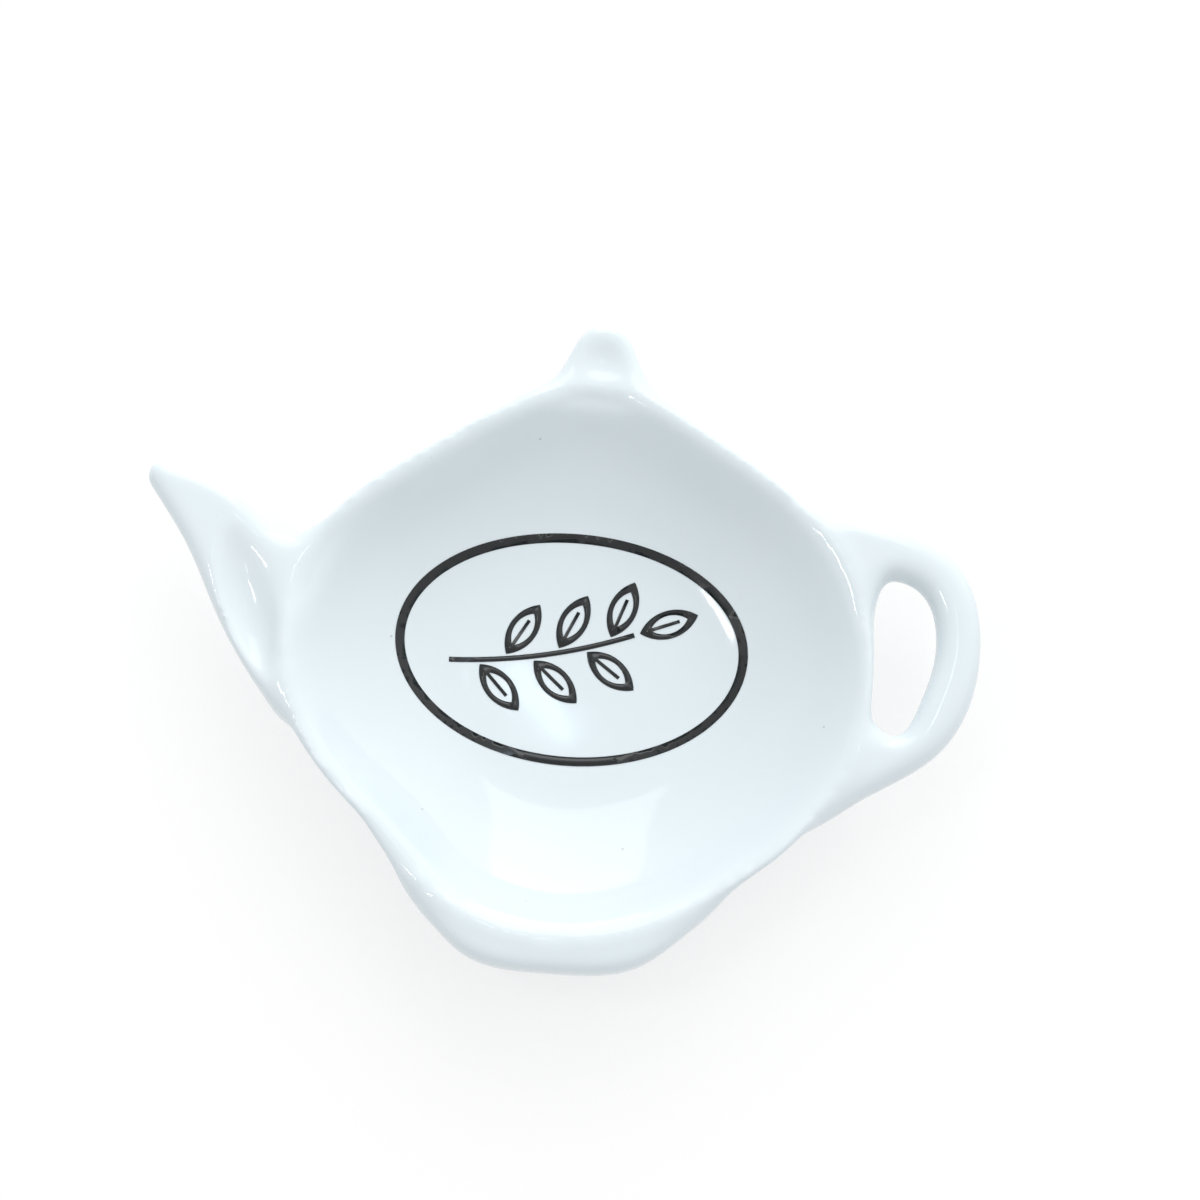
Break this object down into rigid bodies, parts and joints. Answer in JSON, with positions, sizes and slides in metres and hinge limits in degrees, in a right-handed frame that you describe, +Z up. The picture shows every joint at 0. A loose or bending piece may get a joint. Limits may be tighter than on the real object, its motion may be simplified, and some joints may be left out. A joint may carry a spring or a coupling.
{
  "type": "tea bag rest",
  "caption": "Shallow glazed porcelain dish in a teapot outline, with spout, looped handle, lid knob, pot base and foot ring, for resting a wet tea bag on a table",
  "frame": {"origin": "centre of the foot ring's bearing face, on the table", "axes": "+Z up out of the well, +X towards the handle, +Y towards the lid knob"},
  "size_m": [0.1229, 0.0965, 0.0185],
  "materials": {
    "glaze": "clear high-gloss glaze over white porcelain, slightly bluish",
    "biscuit": "bare fired porcelain, matt",
    "transfer": "black ceramic transfer, fired on, satin gloss"
  },
  "bodies": {
    "root": {"dish": "glaze", "spout": "glaze", "handle": "glaze", "knob": "glaze", "pot_base": "glaze", "foot_ring": "biscuit", "print_border": "transfer", "print_stem": "transfer", "print_leaves": "transfer"}
  },
  "joints": []
}
